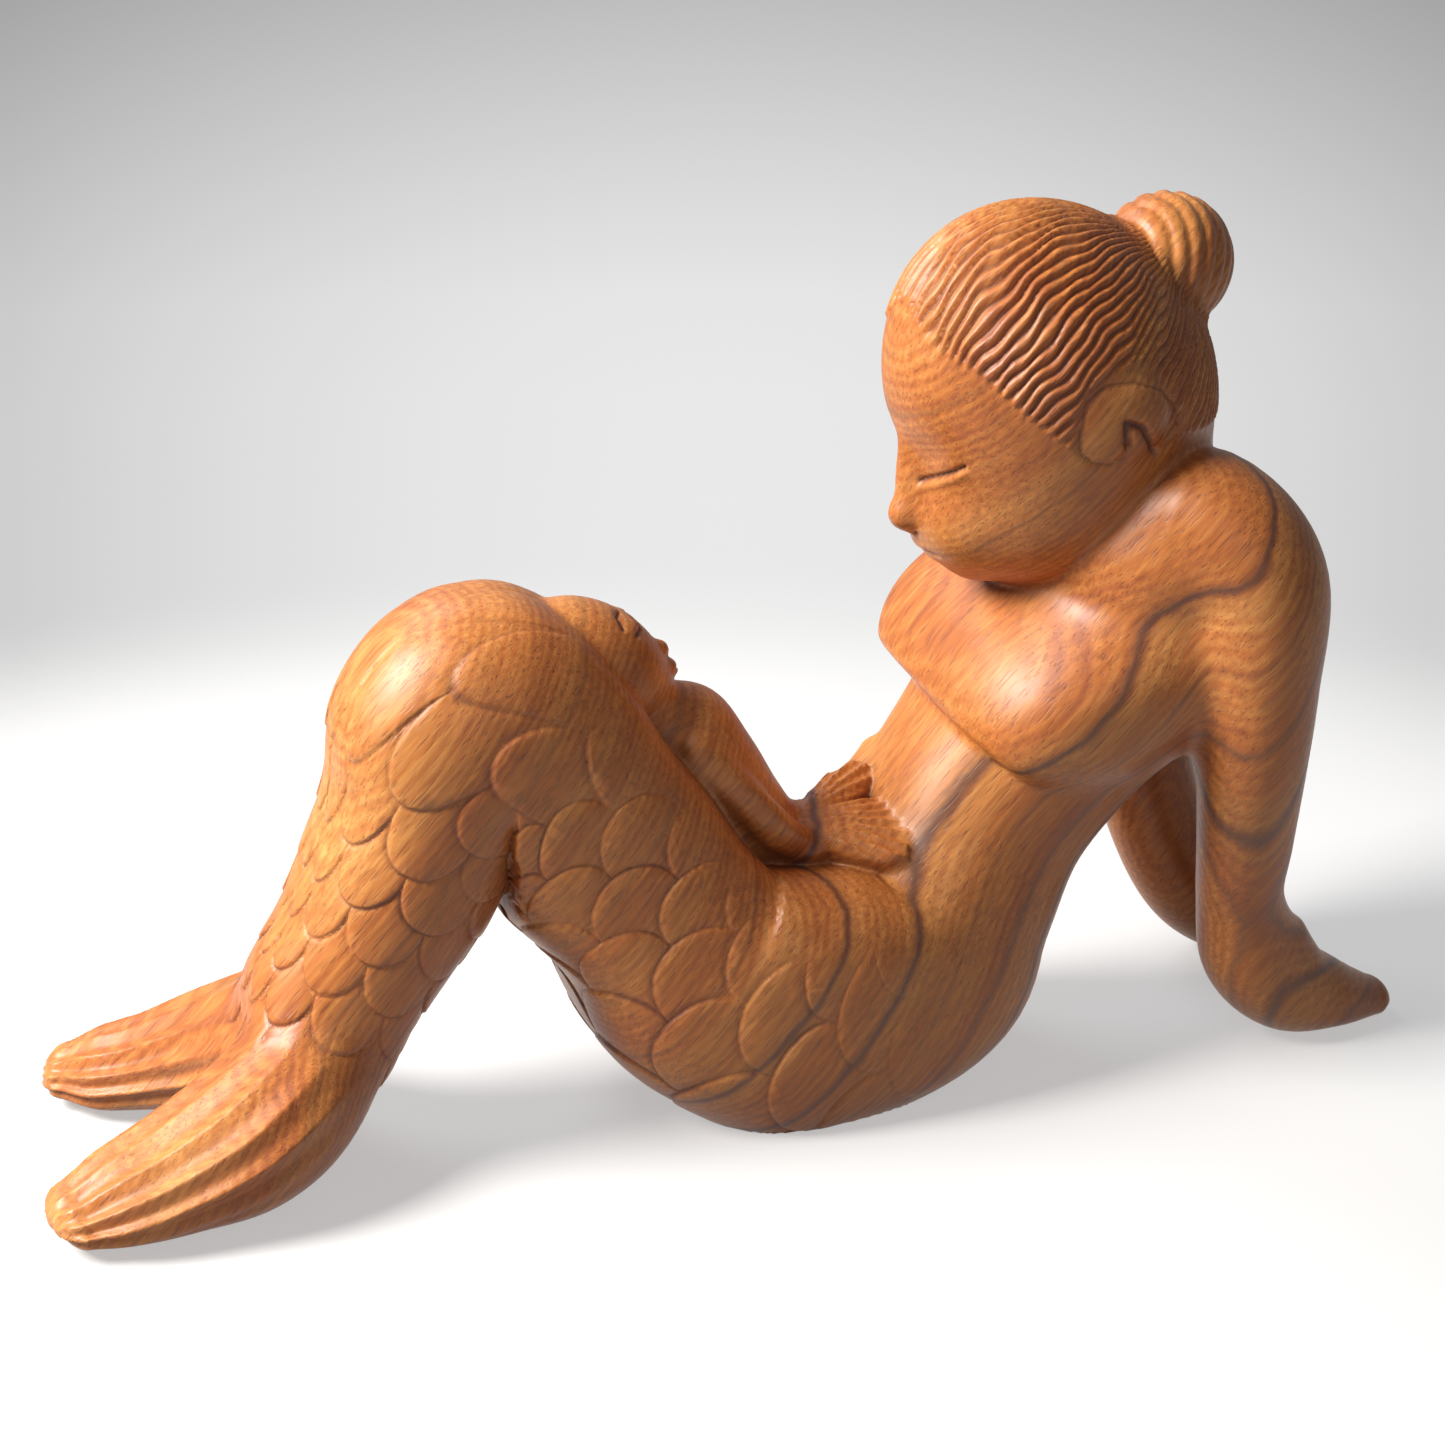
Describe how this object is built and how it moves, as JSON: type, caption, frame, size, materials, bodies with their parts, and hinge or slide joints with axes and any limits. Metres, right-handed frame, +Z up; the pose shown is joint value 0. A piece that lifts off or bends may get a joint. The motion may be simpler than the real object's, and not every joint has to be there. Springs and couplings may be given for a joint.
{
  "type": "carved wooden figurine",
  "caption": "Carved solid-wood mermaid leaning back on both hands with bent scaled tail and ribbed fins, a baby mermaid lying on her lap; stands on flats cut under fins, hips and hands.",
  "frame": {"origin": "middle of the bounding box, on the ground plane the figurine stands on", "axes": "+X from the tail fins toward the hands, -Y the mermaid's left side, +Z up"},
  "size_m": [0.3982, 0.1274, 0.2485],
  "materials": {
    "wood": "hand-carved honey-brown hardwood with dark growth lines, satin wax"
  },
  "bodies": {
    "root": {"figurine": "wood"}
  },
  "joints": []
}
